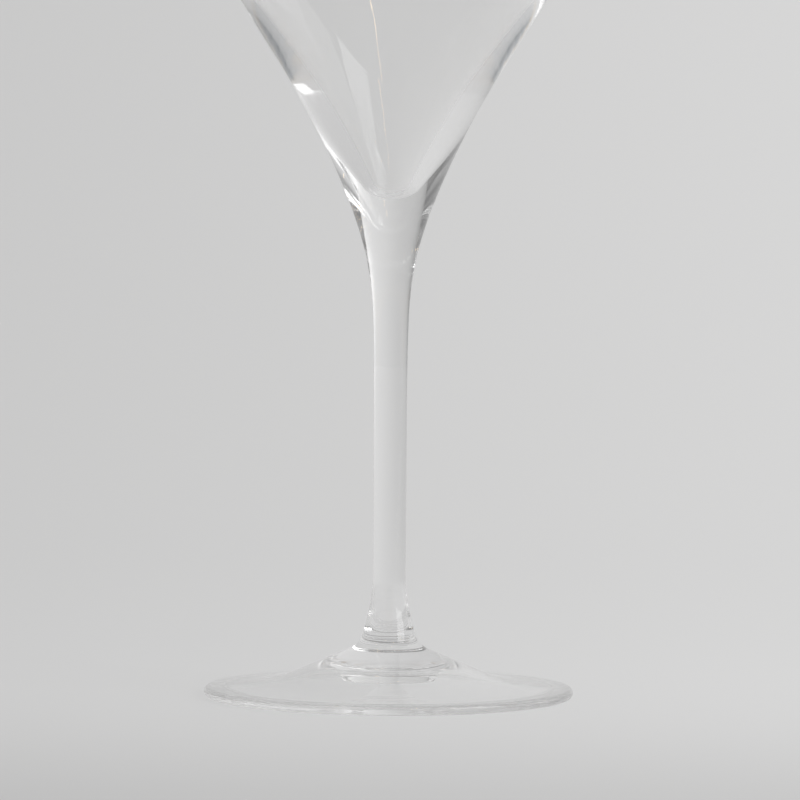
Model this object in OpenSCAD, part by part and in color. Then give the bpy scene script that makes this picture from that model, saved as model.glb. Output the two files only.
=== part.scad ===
// Stemmed cocktail glass with a small bell bowl, in clear glass. Three pieces are turned about one
// axis and fused while hot: a blown bowl, a solid drawn stem and a foot. Sizes are in millimetres,
// +Z is up, and the origin is the middle of the plane that the foot rests on.

/* [Foot] */
// Diameter of the foot
foot_d = 70; // [58:1:82]
// Height of the foot, up to the edge of its joint with the stem
foot_h = 16; // [14:0.5:20]
// Thickness of the foot at its rounded edge
foot_edge = 1.9; // [1.4:0.1:2.6]
// Width of the flat ring that the foot rests on
rest_ring_w = 3; // [1.5:0.5:6]
// Height of the hollow's flat middle under the foot
hollow_h = 3.1; // [2.4:0.1:3.8]
// Diameter of that flat middle
hollow_flat_d = 17.4; // [14:0.2:20]
// Slope of the hollow beside its flat middle, in degrees
hollow_slope = 20; // [14:1:26]
// Slope of the hollow where it runs out to the resting ring, in degrees
hollow_edge_slope = 4; // [2:0.5:6]
// Slope of the foot's top beside its edge, in degrees
edge_slope = 5; // [2:0.5:8]
// Diameter inside which the foot's top climbs steadily
knee_d = 36; // [30:1:42]
// Height of the foot's top at that diameter
knee_z = 4.6; // [3.8:0.1:5.6]
// Slope of that climb, in degrees
climb_slope = 23; // [18:0.5:27]
// Diameter at which the climb turns up into the boss under the stem
boss_d = 16; // [13:0.5:20]

/* [Lower joint] */
// Diameter of the joint between foot and stem
lower_joint_d = 7.9; // [7.4:0.1:9.4]
// Lean of the outline at that joint, in degrees from upright
lower_joint_lean = 13.5; // [8:0.5:20]
// Slope of the stem's round end where it meets the outline, in degrees
lower_seat_slope = 35; // [20:1:55]

/* [Stem] */
// Length of the stem, from the edge of one joint to the edge of the other
stem_l = 70.5; // [62:0.5:90]
// Diameter of the straight part of the stem
stem_d = 6.3; // [5.2:0.1:7.2]
// Length over which the foot's flare dies out into the stem
lower_flare_l = 6; // [4:0.5:10]
// Length over which the stem widens towards the bowl
upper_flare_l = 39.5; // [28:0.5:48]

/* [Upper joint] */
// Diameter of the joint between stem and bowl
upper_joint_d = 11.2; // [9.4:0.1:13]
// Lean of the outline at that joint, in degrees from upright
upper_joint_lean = 16; // [11:0.5:20]
// Slope of the bowl's round bottom where it meets the outline, in degrees
upper_seat_slope = 45; // [25:1:55]

/* [Bowl] */
// Widest diameter of the bowl
bowl_d = 70; // [62:1:78]
// Height of the bowl above the edge of its joint with the stem
bowl_h = 78.5; // [74:0.5:90]
// Height of the curved throat above that joint
throat_h = 32.7; // [28:0.1:38]
// Diameter at the top of the throat, where the straight cone starts
throat_d = 42; // [36:0.5:48]
// Lean of the cone, in degrees from upright
cone_lean = 32; // [27:0.5:37]
// Radius of the rounded shoulder above the cone
shoulder_r = 30; // [22:1:38]
// Diameter of the rim
rim_d = 68; // [60:0.5:74]
// Inward lean of the outline at the rim, in degrees from upright
rim_lean = 7.5; // [0:0.5:12]
// Thickness of the wall at the shoulder
wall = 1.8; // [1.3:0.1:2.3]
// Thickness of the fire-polished rim
rim_t = 1.1; // [0.8:0.1:1.5]
// Thickness of glass below the inside of the bowl, on the axis
base_t = 11.3; // [9:0.1:13]
// Radius of the rounded bottom inside the bowl
floor_r = 4; // [2.5:0.5:6]
// Lean of the inside wall just above that rounding, in degrees from upright
floor_lean = 26; // [23:0.5:31]

/* [Hidden] */
glass_colour = "whitesmoke";
glass_clearness = 0.4;
turn_facets = 128;
curve_steps = 24;
edge_steps = 8;

// How far each end's handle reaches along its curve, as shares of the straight distance
hollow_shares = [0.5, 0.4];
flange_shares = [0.35, 0.35];
boss_shares = [0.37, 0.6];
lower_flare_shares = [0.25, 0.3];
upper_flare_shares = [0.6, 0.233];
throat_shares = [0.3, 0.3];
lip_shares = [0.35, 0.35];
inside_shares = [0.4, 0.33];

// A point that lies a length away from p, on a line that leans outwards from upright
function leaning(p, lean, length) = p + length * [sin(lean), cos(lean)];

// A point on a circle, with the angle counted up from the horizontal
function on_circle(centre, r, angle) = centre + r * [cos(angle), sin(angle)];

function arc(centre, r, from, to, steps) =
    [for (i = [0:steps]) on_circle(centre, r, from + (to - from) * i / steps)];

function cubic(a, b, c, d, t) =
    pow(1 - t, 3) * a + 3 * pow(1 - t, 2) * t * b + 3 * (1 - t) * t * t * c + t * t * t * d;

// A smooth curve from p to q that leaves and arrives at the given leans
function flow(p, p_lean, q, q_lean, shares) =
    let (chord = norm(q - p))
    let (p_handle = leaning(p, p_lean, shares[0] * chord))
    let (q_handle = leaning(q, q_lean, -shares[1] * chord))
    [for (i = [0:curve_steps]) cubic(p, p_handle, q_handle, q, i / curve_steps)];

// The same points without the first, to carry on an outline that already ends there
function onwards(points) = [for (i = [1:len(points) - 1]) points[i]];

function backwards(points) = [for (i = [len(points) - 1:-1:0]) points[i]];

// Radius of a round seat, and its drop from the joint's edge to the axis
function seat_r(joint_d, slope) = joint_d / 2 / sin(slope);
function seat_drop(joint_d, slope) = seat_r(joint_d, slope) * (1 - cos(slope));

// The round seat of a fused joint, from the axis out to the joint's edge
function seat(joint_d, joint_z, slope) =
    let (r = seat_r(joint_d, slope))
    arc([0, joint_z + r * cos(slope)], r, -90, -90 + slope, edge_steps);

// Joints
lower_joint = [lower_joint_d / 2, foot_h];
upper_joint = [upper_joint_d / 2, foot_h + stem_l];
lower_seat = seat(lower_joint_d, foot_h, lower_seat_slope);
upper_seat = seat(upper_joint_d, foot_h + stem_l, upper_seat_slope);

// Foot: the hollow, the resting ring, the rounded edge, the flange, the climb and the boss
edge_r = foot_edge / 2;
edge_centre = [foot_d / 2 - edge_r, edge_r];
hollow_flat = [hollow_flat_d / 2, hollow_h];
hollow_end = [edge_centre[0] - rest_ring_w, 0];
knee = [knee_d / 2, knee_z];
boss_root = [boss_d / 2, knee_z + (knee_d - boss_d) / 2 * tan(climb_slope)];
hollow_run = flow(hollow_flat, 90 + hollow_slope, hollow_end, 90 + hollow_edge_slope, hollow_shares);
foot_underside = concat([[0, hollow_h]], hollow_run);
foot_edge_round = concat(arc(edge_centre, edge_r, -90, 0, edge_steps),
                         onwards(arc(edge_centre, edge_r, 0, 90 - edge_slope, edge_steps)));
foot_edge_top = on_circle(edge_centre, edge_r, 90 - edge_slope);
flange = flow(foot_edge_top, edge_slope - 90, knee, climb_slope - 90, flange_shares);
boss = flow(boss_root, climb_slope - 90, lower_joint, -lower_joint_lean, boss_shares);

// Stem: the end of the foot's flare, the straight part and the widening below the bowl
stem_low = [stem_d / 2, foot_h + lower_flare_l];
stem_high = [stem_d / 2, foot_h + stem_l - upper_flare_l];
lower_flare = flow(lower_joint, -lower_joint_lean, stem_low, 0, lower_flare_shares);
upper_flare = flow(stem_high, 0, upper_joint, upper_joint_lean, upper_flare_shares);

// Bowl: the throat, the cone, the shoulder, the lip, the rim and the inside
rim_z = foot_h + stem_l + bowl_h;
throat_top = [throat_d / 2, foot_h + stem_l + throat_h];
shoulder_x = bowl_d / 2 - shoulder_r;
shoulder_start_r = shoulder_x + shoulder_r * cos(cone_lean);
shoulder_start_z = throat_top[1] + (shoulder_start_r - throat_top[0]) / tan(cone_lean);
shoulder_centre = [shoulder_x, shoulder_start_z + shoulder_r * sin(cone_lean)];
rim_centre = [rim_d / 2 - rim_t / 2, rim_z - rim_t / 2];
rim_outside = on_circle(rim_centre, rim_t / 2, rim_lean);
rim_inside = on_circle(rim_centre, rim_t / 2, 180 + rim_lean);
inside_r = shoulder_r - wall;
inside_start = on_circle(shoulder_centre, inside_r, -cone_lean);
floor_z = foot_h + stem_l - seat_drop(upper_joint_d, upper_seat_slope) + base_t;
floor_centre = [0, floor_z + floor_r];
floor_end = on_circle(floor_centre, floor_r, -floor_lean);
throat = flow(upper_joint, upper_joint_lean, throat_top, cone_lean, throat_shares);
shoulder = arc(shoulder_centre, shoulder_r, -cone_lean, 0, curve_steps);
lip = flow(shoulder_centre + [shoulder_r, 0], 0, rim_outside, -rim_lean, lip_shares);
rim = concat(arc(rim_centre, rim_t / 2, rim_lean, 90, edge_steps),
             onwards(arc(rim_centre, rim_t / 2, 90, 180 + rim_lean, edge_steps)));
inside_lip = backwards(flow(shoulder_centre + [inside_r, 0], 0, rim_inside, -rim_lean, lip_shares));
inside_shoulder = arc(shoulder_centre, inside_r, 0, -cone_lean, curve_steps);
inside_wall = backwards(flow(floor_end, floor_lean, inside_start, cone_lean, inside_shares));
inside_floor = arc(floor_centre, floor_r, -floor_lean, -90, edge_steps);

module turned(outline) {
    rotate_extrude($fn = turn_facets)
        polygon(outline);
}

module bowl() {
    color(glass_colour, glass_clearness)
        turned(concat(upper_seat, onwards(throat), shoulder, onwards(lip), onwards(rim),
                      onwards(inside_lip), onwards(inside_shoulder), onwards(inside_wall),
                      onwards(inside_floor)));
}

module stem() {
    color(glass_colour, glass_clearness)
        turned(concat(lower_seat, onwards(lower_flare), upper_flare, onwards(backwards(upper_seat))));
}

module foot() {
    color(glass_colour, glass_clearness)
        turned(concat(foot_underside, foot_edge_round, onwards(flange), boss,
                      onwards(backwards(lower_seat))));
}

bowl();
stem();
foot();
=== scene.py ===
from math import cos, dist, pi, radians, sin, tan

import bpy
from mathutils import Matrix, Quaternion, Vector


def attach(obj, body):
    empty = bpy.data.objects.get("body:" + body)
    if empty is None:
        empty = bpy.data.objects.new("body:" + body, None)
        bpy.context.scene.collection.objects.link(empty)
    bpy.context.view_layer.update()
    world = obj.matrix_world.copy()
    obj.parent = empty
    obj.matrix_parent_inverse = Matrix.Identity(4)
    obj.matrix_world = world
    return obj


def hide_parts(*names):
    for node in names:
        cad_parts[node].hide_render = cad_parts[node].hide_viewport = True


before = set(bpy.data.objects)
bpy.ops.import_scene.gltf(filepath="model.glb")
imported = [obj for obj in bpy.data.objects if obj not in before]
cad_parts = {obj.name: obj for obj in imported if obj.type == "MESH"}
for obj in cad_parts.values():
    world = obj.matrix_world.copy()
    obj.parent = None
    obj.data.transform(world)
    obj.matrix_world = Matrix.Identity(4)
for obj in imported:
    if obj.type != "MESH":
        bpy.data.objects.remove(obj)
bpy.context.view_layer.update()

# Bowl. A thin cone with a round shoulder and a thick round base, in clear lead-free glass.
# It is blown, cut off at the rim and fire-polished, and its base is fused into the stem's cup while hot.
joint_z = 0.0865
bowl_d, bowl_h = 0.070, 0.0785
throat_h, throat_d = 0.0327, 0.042
cone_lean, shoulder_r = 32, 0.030
rim_d, rim_lean, rim_t = 0.068, 7.5, 0.0011
wall, base_t = 0.0018, 0.0113
floor_r, floor_lean = 0.004, 26
upper_joint_d, upper_joint_lean, upper_seat_slope = 0.0112, 16, 45
throat_shares, lip_shares, inside_shares = (0.3, 0.3), (0.35, 0.35), (0.4, 0.33)
upper_seat_steps, throat_steps, shoulder_steps = 12, 44, 20
lip_steps, rim_steps, floor_steps = 10, 8, 16
steps_round, seam_width, sharp_angle = 480, 1e-6, 35
glass_ior, ripple_height = 1.52, 0.0001
joint_mark = "fused"

# A ring this close to a joint's edge keeps the edge from bending the light
joint_hair = 0.00003


def leaning(point, lean, length):
    """A point a length away, on a line that leans outwards from upright."""
    a = radians(lean)
    return point[0] + length * sin(a), point[1] + length * cos(a)


def on_circle(centre, r, angle):
    """A point on a circle, with the angle counted up from the horizontal."""
    a = radians(angle)
    return centre[0] + r * cos(a), centre[1] + r * sin(a)


def arc(centre, r, start, end, steps):
    """Points along part of a circle, from one angle to another."""
    return [on_circle(centre, r, start + (end - start) * i / steps) for i in range(steps + 1)]


def flow(start, start_lean, end, end_lean, shares, steps):
    """A smooth curve that leaves its start and arrives at its end at the given leans."""
    chord = dist(start, end)
    start_handle = leaning(start, start_lean, shares[0] * chord)
    end_handle = leaning(end, end_lean, -shares[1] * chord)
    guides = start, start_handle, end_handle, end
    curve = []
    for i in range(steps + 1):
        t = i / steps
        u = 1 - t
        weights = u ** 3, 3 * u * u * t, 3 * u * t * t, t ** 3
        curve.append(tuple(sum(w * g[k] for w, g in zip(weights, guides)) for k in (0, 1)))
    return curve


def seat(joint_d, z, slope, steps):
    """The round face of a fused joint, from the axis out to the joint's edge."""
    r = joint_d / 2 / sin(radians(slope))
    return arc((0, z + r * cos(radians(slope))), r, -90, -90 + slope, steps)


def maths(tree, operation, a, b=0):
    """A Math node, whose two terms are sockets or plain numbers."""
    node = tree.nodes.new("ShaderNodeMath")
    node.operation = operation
    for socket, term in zip(node.inputs, (a, b)):
        if isinstance(term, (int, float)):
            socket.default_value = term
        else:
            tree.links.new(term, socket)
    return node.outputs[0]


def turning_tree():
    """Turns an outline about the upright axis and closes its seam and poles."""
    tree = bpy.data.node_groups.new("turned_glass", "GeometryNodeTree")
    for name, kind in (("Outline", "Geometry"), ("Steps Round", "Int"), ("Seam Width", "Float"),
                       ("Glass", "Material"), ("Fused Face", "Material")):
        tree.interface.new_socket(name, in_out="INPUT", socket_type="NodeSocket" + kind)
    tree.interface.new_socket("Piece", in_out="OUTPUT", socket_type="NodeSocketGeometry")
    nodes, link = tree.nodes, tree.links.new
    given = nodes.new("NodeGroupInput").outputs
    position = nodes.new("GeometryNodeInputPosition").outputs[0]

    # A flat net with one row for each point of the outline
    count = nodes.new("GeometryNodeAttributeDomainSize")
    link(given["Outline"], count.inputs["Geometry"])
    points = count.outputs["Point Count"]
    gaps = maths(tree, "SUBTRACT", points, 1)
    net = nodes.new("GeometryNodeMeshGrid")
    link(gaps, net.inputs["Size X"])
    link(given["Steps Round"], net.inputs["Size Y"])
    link(points, net.inputs["Vertices X"])
    link(maths(tree, "ADD", given["Steps Round"], 1), net.inputs["Vertices Y"])
    on_net = nodes.new("ShaderNodeSeparateXYZ")
    link(position, on_net.inputs[0])
    row = nodes.new("FunctionNodeFloatToInt")
    row.rounding_mode = "ROUND"
    link(maths(tree, "ADD", on_net.outputs["X"], maths(tree, "DIVIDE", gaps, 2)), row.inputs[0])
    share_of_turn = maths(tree, "DIVIDE", on_net.outputs["Y"], given["Steps Round"])
    turn = maths(tree, "MULTIPLY", share_of_turn, -2 * pi)

    # Each row goes round the axis at its own point's radius and height
    spot = nodes.new("GeometryNodeSampleIndex")
    spot.data_type = "FLOAT_VECTOR"
    link(given["Outline"], spot.inputs["Geometry"])
    link(position, spot.inputs["Value"])
    link(row.outputs[0], spot.inputs["Index"])
    ring = nodes.new("ShaderNodeSeparateXYZ")
    link(spot.outputs["Value"], ring.inputs[0])
    round_place = nodes.new("ShaderNodeCombineXYZ")
    for axis, operation in (("X", "COSINE"), ("Y", "SINE")):
        reach = maths(tree, "MULTIPLY", ring.outputs["X"], maths(tree, operation, turn))
        link(reach, round_place.inputs[axis])
    link(ring.outputs["Z"], round_place.inputs["Z"])

    # The rows of a fused joint's face are marked, so that they take their own finish
    mark = nodes.new("GeometryNodeInputNamedAttribute")
    mark.data_type = "BOOLEAN"
    mark.inputs["Name"].default_value = joint_mark
    row_mark = nodes.new("GeometryNodeSampleIndex")
    row_mark.data_type = "BOOLEAN"
    link(given["Outline"], row_mark.inputs["Geometry"])
    link(mark.outputs[0], row_mark.inputs["Value"])
    link(row.outputs[0], row_mark.inputs["Index"])
    marked_net = nodes.new("GeometryNodeStoreNamedAttribute")
    marked_net.data_type = "BOOLEAN"
    marked_net.inputs["Name"].default_value = joint_mark
    link(net.outputs["Mesh"], marked_net.inputs["Geometry"])
    link(row_mark.outputs["Value"], marked_net.inputs["Value"])

    # The net becomes a closed, smooth piece with its two finishes
    turned = nodes.new("GeometryNodeSetPosition")
    link(marked_net.outputs[0], turned.inputs["Geometry"])
    link(round_place.outputs[0], turned.inputs["Position"])
    closed = nodes.new("GeometryNodeMergeByDistance")
    link(turned.outputs[0], closed.inputs["Geometry"])
    link(given["Seam Width"], closed.inputs["Distance"])
    smooth = nodes.new("GeometryNodeSetShadeSmooth")
    link(closed.outputs[0], smooth.inputs[0])
    real = nodes.new("GeometryNodeRealizeInstances")
    link(smooth.outputs[0], real.inputs[0])
    glass = nodes.new("GeometryNodeSetMaterial")
    link(real.outputs[0], glass.inputs["Geometry"])
    link(given["Glass"], glass.inputs["Material"])
    face = nodes.new("GeometryNodeSetMaterial")
    link(glass.outputs[0], face.inputs["Geometry"])
    link(given["Fused Face"], face.inputs["Material"])
    link(mark.outputs[0], face.inputs["Selection"])
    plain = nodes.new("GeometryNodeRemoveAttribute")
    plain.inputs["Name"].default_value = joint_mark
    link(face.outputs[0], plain.inputs["Geometry"])
    link(plain.outputs[0], nodes.new("NodeGroupOutput").inputs["Piece"])
    return tree


def turned_piece(name, low_face, sides, top_face, glass):
    """A closed piece of turned glass, with a fused joint's face at one end or at both."""
    outline = low_face + sides + top_face
    fused = [True] * len(low_face) + [False] * len(sides) + [True] * len(top_face)
    mesh = bpy.data.meshes.new(name + "_outline")
    edges = [(i, i + 1) for i in range(len(outline) - 1)]
    mesh.from_pydata([(r, 0, z) for r, z in outline], edges, [])
    mesh.attributes.new(joint_mark, "BOOLEAN", "POINT").data.foreach_set("value", fused)
    blank = bpy.data.objects.new(name + "_outline", mesh)
    bpy.context.scene.collection.objects.link(blank)
    turning = blank.modifiers.new("Turning", "NODES")
    turning.node_group = lathe
    values = {"Steps Round": steps_round, "Seam Width": seam_width,
              "Glass": glass, "Fused Face": fused_face}
    for socket in lathe.interface.items_tree:
        if socket.in_out == "INPUT" and socket.name in values:
            turning[socket.identifier] = values[socket.name]
    solid = blank.evaluated_get(bpy.context.evaluated_depsgraph_get())
    mesh = bpy.data.meshes.new_from_object(solid)
    mesh.name = name
    mesh.set_sharp_from_angle(angle=radians(sharp_angle))
    piece = bpy.data.objects.new(name, mesh)
    bpy.context.scene.collection.objects.link(piece)
    bpy.data.objects.remove(blank)
    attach(piece, "root")
    return piece


def handled_glass_group():
    """Faint marks of use and of hot working on clear glass."""
    group = bpy.data.node_groups.new("handled_glass", "ShaderNodeTree")
    for name in ("Smudge Scale", "Smudge Haze", "Ripple Scale", "Rest Wear"):
        group.interface.new_socket(name, in_out="INPUT", socket_type="NodeSocketFloat")
    for name, kind in (("Tint", "Color"), ("Haze", "Float"), ("Ripple", "Float")):
        group.interface.new_socket(name, in_out="OUTPUT", socket_type="NodeSocket" + kind)
    nodes, link = group.nodes, group.links.new
    given, out = nodes.new("NodeGroupInput").outputs, nodes.new("NodeGroupOutput").inputs
    place = nodes.new("ShaderNodeTexCoord").outputs["Object"]

    # Finger smudges, which dull the shine in soft patches
    smudge_detail, smudge_start, smudge_full = 5, 0.52, 0.75
    smudge = nodes.new("ShaderNodeTexNoise")
    smudge.inputs["Detail"].default_value = smudge_detail
    link(place, smudge.inputs["Vector"])
    link(given["Smudge Scale"], smudge.inputs["Scale"])
    patches = nodes.new("ShaderNodeMapRange")
    patches.inputs["From Min"].default_value = smudge_start
    patches.inputs["From Max"].default_value = smudge_full
    link(smudge.outputs["Fac"], patches.inputs["Value"])
    link(given["Smudge Haze"], patches.inputs["To Max"])

    # Fine scratches on the face that the glass rests on, which end just above it
    worn_below, clear_above = 0.00003, 0.0001
    height = nodes.new("ShaderNodeSeparateXYZ")
    link(place, height.inputs[0])
    worn = nodes.new("ShaderNodeMapRange")
    worn.inputs["From Min"].default_value = worn_below
    worn.inputs["From Max"].default_value = clear_above
    worn.inputs["To Max"].default_value = 0
    link(height.outputs["Z"], worn.inputs["Value"])
    link(given["Rest Wear"], worn.inputs["To Min"])
    link(maths(group, "MAXIMUM", patches.outputs["Result"], worn.outputs["Result"]), out["Haze"])

    # A trace of grey that isn't quite even
    darker, clearer = (0.98, 0.98, 0.98, 1), (0.998, 0.998, 0.997, 1)
    tint = nodes.new("ShaderNodeMix")
    tint.data_type = "RGBA"
    tint.inputs["A"].default_value = darker
    tint.inputs["B"].default_value = clearer
    link(smudge.outputs["Fac"], tint.inputs["Factor"])
    link(tint.outputs["Result"], out["Tint"])

    # The slight waves of blown and drawn glass, longer up and down than round
    ripple_detail, upright_scale = 1, 0.35
    stretch = nodes.new("ShaderNodeMapping")
    stretch.inputs["Scale"].default_value = 1, 1, upright_scale
    link(place, stretch.inputs["Vector"])
    ripple = nodes.new("ShaderNodeTexNoise")
    ripple.inputs["Detail"].default_value = ripple_detail
    link(stretch.outputs["Vector"], ripple.inputs["Vector"])
    link(given["Ripple Scale"], ripple.inputs["Scale"])
    link(ripple.outputs["Fac"], out["Ripple"])
    return group


def clear_glass(name, smudge_scale, smudge_haze, ripple_scale, ripple_strength, rest_wear=0):
    """Clear glass that has been handled."""
    material = bpy.data.materials.new(name)
    material.use_nodes = True
    nodes, link = material.node_tree.nodes, material.node_tree.links.new
    shader = nodes["Principled BSDF"]
    shader.inputs["Transmission Weight"].default_value = 1
    shader.inputs["IOR"].default_value = glass_ior
    marks = nodes.new("ShaderNodeGroup")
    marks.node_tree = handled_glass
    marks.inputs["Smudge Scale"].default_value = smudge_scale
    marks.inputs["Smudge Haze"].default_value = smudge_haze
    marks.inputs["Ripple Scale"].default_value = ripple_scale
    marks.inputs["Rest Wear"].default_value = rest_wear
    bump = nodes.new("ShaderNodeBump")
    bump.inputs["Strength"].default_value = ripple_strength
    bump.inputs["Distance"].default_value = ripple_height
    link(marks.outputs["Ripple"], bump.inputs["Height"])
    link(bump.outputs["Normal"], shader.inputs["Normal"])
    link(marks.outputs["Tint"], shader.inputs["Base Color"])
    link(marks.outputs["Haze"], shader.inputs["Roughness"])
    return material


def fused_glass(name):
    """The face of a joint that was fused while hot, where light goes straight on."""
    material = bpy.data.materials.new(name)
    material.use_nodes = True
    shader = material.node_tree.nodes["Principled BSDF"]
    shader.inputs["Alpha"].default_value = 0
    return material


lathe = turning_tree()
handled_glass = handled_glass_group()
fused_face = fused_glass("fused_face")
blown_glass = clear_glass("blown_glass", smudge_scale=30, smudge_haze=0.02,
                          ripple_scale=90, ripple_strength=0.1)

bowl_seat = seat(upper_joint_d, joint_z, upper_seat_slope, upper_seat_steps)
throat_top = throat_d / 2, joint_z + throat_h
shoulder_x = bowl_d / 2 - shoulder_r
shoulder_start_r = shoulder_x + shoulder_r * cos(radians(cone_lean))
shoulder_start_z = throat_top[1] + (shoulder_start_r - throat_top[0]) / tan(radians(cone_lean))
shoulder_centre = shoulder_x, shoulder_start_z + shoulder_r * sin(radians(cone_lean))
rim_r = rim_t / 2
rim_centre = rim_d / 2 - rim_r, joint_z + bowl_h - rim_r
inside_r = shoulder_r - wall
inside_start = on_circle(shoulder_centre, inside_r, -cone_lean)
floor_centre = 0, bowl_seat[0][1] + base_t + floor_r
floor_end = on_circle(floor_centre, floor_r, -floor_lean)
throat = flow(bowl_seat[-1], upper_joint_lean, throat_top, cone_lean, throat_shares, throat_steps)
throat.insert(1, leaning(throat[0], upper_joint_lean, joint_hair))
shoulder = arc(shoulder_centre, shoulder_r, -cone_lean, 0, shoulder_steps)
rim = arc(rim_centre, rim_r, rim_lean, 90, rim_steps)
rim += arc(rim_centre, rim_r, 90, 180 + rim_lean, rim_steps)[1:]
lip = flow(shoulder[-1], 0, rim[0], -rim_lean, lip_shares, lip_steps)
inside_shoulder = arc(shoulder_centre, inside_r, 0, -cone_lean, shoulder_steps)
inside_lip = flow(inside_shoulder[0], 0, rim[-1], -rim_lean, lip_shares, lip_steps)
inside_wall = flow(floor_end, floor_lean, inside_start, cone_lean, inside_shares, throat_steps)
inside_floor = arc(floor_centre, floor_r, -floor_lean, -90, floor_steps)
bowl_sides = (throat[1:] + shoulder + lip[1:] + rim[1:] + inside_lip[::-1][1:]
              + inside_shoulder[1:] + inside_wall[::-1][1:] + inside_floor[1:])
bowl = turned_piece("bowl_blown", bowl_seat, bowl_sides, [], blown_glass)
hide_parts("bowl")

# Stem. A solid rod of the same glass, drawn out thin in the middle.
# Its top widens into a cup that the bowl's base is fused into, and its round end is fused into the foot.
foot_h, stem_l, stem_d = 0.016, 0.0705, 0.0063
lower_flare_l, upper_flare_l = 0.006, 0.0395
lower_joint_d, lower_joint_lean, lower_seat_slope = 0.0079, 13.5, 35
lower_flare_shares, upper_flare_shares = (0.25, 0.3), (0.6, 0.233)
lower_seat_steps, lower_flare_steps, upper_flare_steps = 16, 24, 60
drawn_glass = clear_glass("drawn_glass", smudge_scale=45, smudge_haze=0.015,
                          ripple_scale=60, ripple_strength=0.05)

stem_seat = seat(lower_joint_d, foot_h, lower_seat_slope, lower_seat_steps)
stem_low = stem_d / 2, foot_h + lower_flare_l
stem_high = stem_d / 2, foot_h + stem_l - upper_flare_l
lower_flare = flow(stem_seat[-1], -lower_joint_lean, stem_low, 0, lower_flare_shares, lower_flare_steps)
lower_flare.insert(1, leaning(lower_flare[0], -lower_joint_lean, joint_hair))
upper_flare = flow(stem_high, 0, bowl_seat[-1], upper_joint_lean, upper_flare_shares, upper_flare_steps)
upper_flare.insert(-1, leaning(upper_flare[-1], upper_joint_lean, -joint_hair))
stem_sides = lower_flare[1:] + upper_flare[:-1]
stem = turned_piece("stem_drawn", stem_seat, stem_sides, bowl_seat[::-1], drawn_glass)
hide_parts("stem")

# Foot. A disc of the same glass, spun flat while hot, with a boss that holds the stem's round end.
# Its edge is fire-polished, and its underside is an even hollow round the low button that a pontil rod
# left. It stands on a narrow flat ring, which wear has dulled.
foot_d, foot_edge, rest_ring_w = 0.070, 0.0019, 0.003
edge_slope, knee_d, knee_z, climb_slope, boss_d = 5, 0.036, 0.0046, 23, 0.016
hollow_shares, flange_shares, boss_shares = (0.36, 0.36), (0.35, 0.35), (0.37, 0.6)
edge_steps, flange_steps, boss_steps = 12, 40, 40
button_r, button_z, button_steps = 0.0084, 0.0020, 4
spun_glass = clear_glass("spun_glass", smudge_scale=28, smudge_haze=0.01,
                         ripple_scale=40, ripple_strength=0.03, rest_wear=0.35)

edge_r = foot_edge / 2
edge_centre = foot_d / 2 - edge_r, edge_r
hollow_end = edge_centre[0] - rest_ring_w, 0

# Each place along the hollow, from the button outwards, with its lean and the steps to the next one
hollow_places = (((button_r, button_z), 90, 6), ((0.0088, 0.0023), 25, 8), ((0.0096, 0.0046), 30, 8),
                 ((0.0110, 0.0056), 105, 20), ((0.0180, 0.0029), 112, 28), (hollow_end, 96, 0))
underside = [(button_r * i / button_steps, button_z) for i in range(button_steps + 1)]
for (start, start_lean, steps), (end, end_lean, _) in zip(hollow_places, hollow_places[1:]):
    underside += flow(start, start_lean, end, end_lean, hollow_shares, steps)[1:]
edge = arc(edge_centre, edge_r, -90, 0, edge_steps)
edge += arc(edge_centre, edge_r, 0, 90 - edge_slope, edge_steps)[1:]
knee = knee_d / 2, knee_z
boss_root = boss_d / 2, knee_z + (knee_d - boss_d) / 2 * tan(radians(climb_slope))
flange = flow(edge[-1], edge_slope - 90, knee, climb_slope - 90, flange_shares, flange_steps)
boss = flow(boss_root, climb_slope - 90, stem_seat[-1], -lower_joint_lean, boss_shares, boss_steps)
boss.insert(-1, leaning(boss[-1], -lower_joint_lean, -joint_hair))
foot_sides = underside + edge + flange[1:] + boss[:-1]
foot = turned_piece("foot_spun", [], foot_sides, stem_seat[::-1], spun_glass)
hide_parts("foot")

# Floor and backdrop. One pale sweep of matt paper, flat under the glass and curved up behind it.
# It lies a hair below the foot, so that the resting ring and the paper don't share a plane.
paper_front, paper_back, paper_half, paper_top = -3.0, 0.8, 3.0, 3.0
paper_curve, curve_steps, paper_drop = 0.5, 18, 0.00003
paper_grey, paper_roughness, paper_shine, paper_glow = 0.62, 0.9, 0.1, 0.65

# Painted light and shade in the paper's glow: brighter to the right, as if lit from there, and painted
# shade darker towards the front
painted_light_across = ((-2.5, 0.25), (-1.3, 0.3), (-0.8, 0.6), (-0.5, 0.7), (-0.13, 0.77), (0.13, 0.95),
                (0.5, 1.05), (0.8, 1.3), (1.2, 1.7), (2.5, 1.8))
painted_shade_backwards = ((-0.3, 0.70), (-0.17, 0.79), (-0.04, 1), (0.1, 1), (1.6, 0.97))

curve_centre = paper_back - paper_curve, paper_curve
paper_outline = [(paper_front, 0)] + arc(curve_centre, paper_curve, -90, 0, curve_steps)
paper_outline.append((paper_back, paper_top))
paper_points = [(x, y, z - paper_drop) for y, z in paper_outline for x in (-paper_half, paper_half)]
paper_faces = [(2 * i, 2 * i + 1, 2 * i + 3, 2 * i + 2) for i in range(len(paper_outline) - 1)]
paper_mesh = bpy.data.meshes.new("paper")
paper_mesh.from_pydata(paper_points, [], paper_faces)
paper_mesh.polygons.foreach_set("use_smooth", [True] * len(paper_mesh.polygons))
paper = bpy.data.objects.new("paper", paper_mesh)
bpy.context.scene.collection.objects.link(paper)

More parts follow.
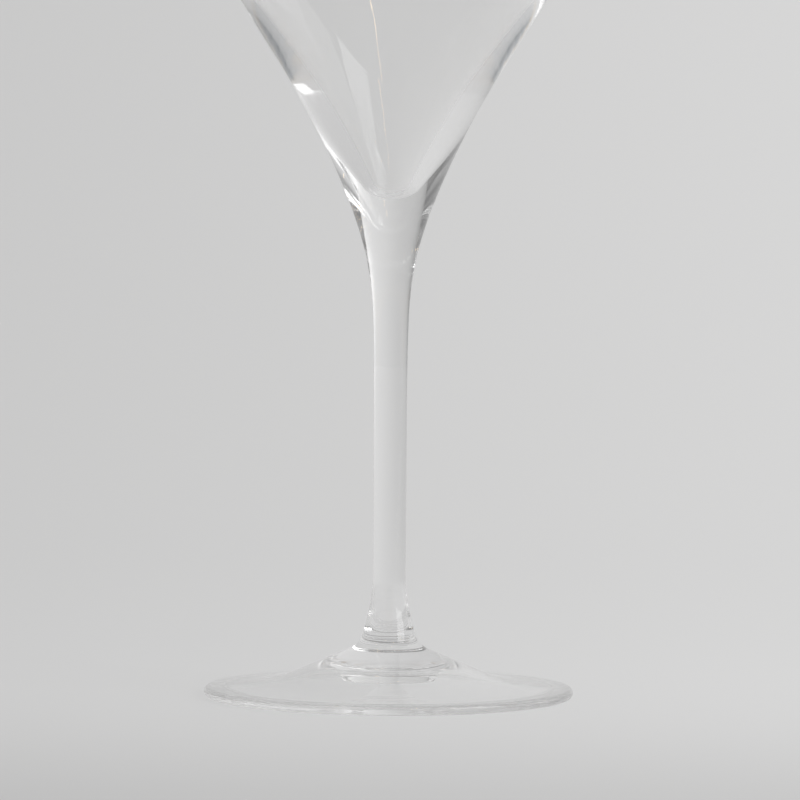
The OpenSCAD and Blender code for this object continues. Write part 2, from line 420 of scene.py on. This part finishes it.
matt_paper = bpy.data.materials.new("matt_paper")
matt_paper.use_nodes = True
paper_tree = matt_paper.node_tree
paper_nodes, paper_link = paper_tree.nodes, paper_tree.links.new
matt_shader = paper_nodes["Principled BSDF"]
matt_shader.inputs["Base Color"].default_value = paper_grey, paper_grey, paper_grey, 1
matt_shader.inputs["Roughness"].default_value = paper_roughness
matt_shader.inputs["Specular IOR Level"].default_value = paper_shine
on_paper = paper_nodes.new("ShaderNodeSeparateXYZ")
paper_link(paper_nodes.new("ShaderNodeTexCoord").outputs["Object"], on_paper.inputs[0])


def shaded(tree, along, stops, easing):
    """A colour that changes along a direction, by stops of a place with a grey or a colour."""
    start, end = stops[0][0], stops[-1][0]
    spread = tree.nodes.new("ShaderNodeMapRange")
    spread.inputs["From Min"].default_value = start
    spread.inputs["From Max"].default_value = end
    tree.links.new(along, spread.inputs["Value"])
    ramp = tree.nodes.new("ShaderNodeValToRGB")
    ramp.color_ramp.interpolation = easing
    marks = ramp.color_ramp.elements
    while len(marks) < len(stops):
        marks.new(1)
    for mark, (place, tone) in zip(marks, stops):
        mark.position = (place - start) / (end - start)
        mark.color = (*tone, 1) if isinstance(tone, tuple) else (tone, tone, tone, 1)
    tree.links.new(spread.outputs["Result"], ramp.inputs["Fac"])
    return ramp.outputs["Color"]


def paper_tone(axis, stops):
    """A grey that changes along the paper. The ramp stops at 1, so it is scaled to the brightest."""
    brightest = max(tone for _, tone in stops)
    shares = [(place, tone / brightest) for place, tone in stops]
    greys = shaded(paper_tree, on_paper.outputs[axis], shares, "B_SPLINE")
    return maths(paper_tree, "MULTIPLY", greys, brightest)


# The camera and the glass see the paper partly by a glow with painted light and shade in it, and the
# rest takes the shadow
glow_with_painted_light = paper_nodes.new("ShaderNodeEmission")
paper_link(paper_tone("Y", painted_shade_backwards), glow_with_painted_light.inputs["Color"])
paper_link(paper_tone("X", painted_light_across), glow_with_painted_light.inputs["Strength"])
rays = paper_nodes.new("ShaderNodeLightPath").outputs
seen = maths(paper_tree, "MAXIMUM", rays["Is Camera Ray"], rays["Is Glossy Ray"])
seen = maths(paper_tree, "MAXIMUM", seen, rays["Is Transmission Ray"])
lit_paper = paper_nodes.new("ShaderNodeMixShader")
paper_link(maths(paper_tree, "MULTIPLY", seen, paper_glow), lit_paper.inputs["Fac"])
paper_link(matt_shader.outputs["BSDF"], lit_paper.inputs[1])
paper_link(glow_with_painted_light.outputs["Emission"], lit_paper.inputs[2])

# From behind or below the paper isn't seen, so that the glass can be looked at from all sides
one_sided = paper_nodes.new("ShaderNodeMixShader")
paper_link(paper_nodes.new("ShaderNodeNewGeometry").outputs["Backfacing"], one_sided.inputs["Fac"])
paper_link(lit_paper.outputs[0], one_sided.inputs[1])
paper_link(paper_nodes.new("ShaderNodeBsdfTransparent").outputs[0], one_sided.inputs[2])
paper_link(one_sided.outputs[0], paper_nodes["Material Output"].inputs["Surface"])
paper_mesh.materials.append(matt_paper)

# Light. A pale room, brighter on the right, and darker overhead and in front of the glass.
# A window stands close by on the right, a thin warm strip hangs high in front, and a soft lamp over the
# paper lights a patch of it on the right.
window_size, window_power = (0.275, 0.415), 0.9
strip_size, strip_power, strip_roll, strip_colour = (0.022, 0.85), 0.5, -30, (1, 0.72, 0.42)
patch_size, patch_power, patch_spread = (0.7, 0.2), 1, 30
dark_front, warm_front = (0.3, 0.33, 0.36), (0.62, 0.5, 0.36)
room_across = ((-1, 0.4), (-0.4, 0.48), (0, 0.55), (0.4, 0.82), (1, 0.88))
room_backwards = ((-1, dark_front), (-0.96, dark_front), (-0.92, warm_front), (-0.85, 0.85),
                  (-0.6, 1), (1, 1))
room_upwards = ((-1, 0.8), (0, 1), (0.25, 1), (0.42, 0.7), (0.55, 0.42), (0.7, 0.33), (1, 0.4))


def set_up(holder, place, aim, roll=0):
    """Puts a lamp or the camera in its place, turned to its aim and rolled about its own axis."""
    holder.location = place
    facing = (Vector(aim) - Vector(place)).to_track_quat("-Z", "Y")
    holder.rotation_euler = (facing @ Quaternion((0, 0, 1), radians(roll))).to_euler()
    bpy.context.scene.collection.objects.link(holder)


def soft_lamp(name, size, power):
    """A flat rectangle of light."""
    lamp = bpy.data.lights.new(name, "AREA")
    lamp.shape = "RECTANGLE"
    lamp.size, lamp.size_y = size
    lamp.energy = power
    return bpy.data.objects.new(name, lamp)


window = soft_lamp("window", window_size, window_power)
set_up(window, (0.386, -0.232, 0.343), (0, 0, 0.343))
warm_strip = soft_lamp("warm_strip", strip_size, strip_power)
warm_strip.data.color = strip_colour
set_up(warm_strip, (0.488, -1.038, 1.783), (0, 0, 0.1), strip_roll)
paper_patch = soft_lamp("paper_patch", patch_size, patch_power)
paper_patch.data.spread = radians(patch_spread)
set_up(paper_patch, (0.6, -0.2, 0.5), (0.6, -0.2, 0))

room = bpy.data.worlds.new("room")
bpy.context.scene.world = room
room.use_nodes = True
room_tree = room.node_tree
room_nodes, room_link = room_tree.nodes, room_tree.links.new
looking = room_nodes.new("ShaderNodeSeparateXYZ")
room_link(room_nodes.new("ShaderNodeTexCoord").outputs["Generated"], looking.inputs[0])
room_tone = shaded(room_tree, looking.outputs["X"], room_across, "EASE")
for axis, stops in (("Y", room_backwards), ("Z", room_upwards)):
    both = room_nodes.new("ShaderNodeVectorMath")
    both.operation = "MULTIPLY"
    room_link(room_tone, both.inputs[0])
    room_link(shaded(room_tree, looking.outputs[axis], stops, "EASE"), both.inputs[1])
    room_tone = both.outputs[0]
room_link(room_tone, room_nodes["Background"].inputs["Color"])

# Camera. A long lens in front of the glass, a little higher than the stem, that looks slightly down.
# Light is followed through as many faces of glass as it crosses on its way there.
sensor_mm, lens_mm, glass_bounces = 36, 286, 256
camera_at, camera_aim, camera_roll = (0.0018, -1.2, 0.1282), (0.0018, 0, 0.0563), 0.4
long_lens = bpy.data.cameras.new("camera")
long_lens.sensor_width = sensor_mm
long_lens.lens = lens_mm
camera = bpy.data.objects.new("camera", long_lens)
set_up(camera, camera_at, camera_aim, camera_roll)
bpy.context.scene.camera = camera
bpy.context.scene.view_settings.view_transform = "Standard"
cycles = bpy.context.scene.cycles
cycles.max_bounces = cycles.transmission_bounces = cycles.glossy_bounces = glass_bounces
cycles.transparent_max_bounces = glass_bounces
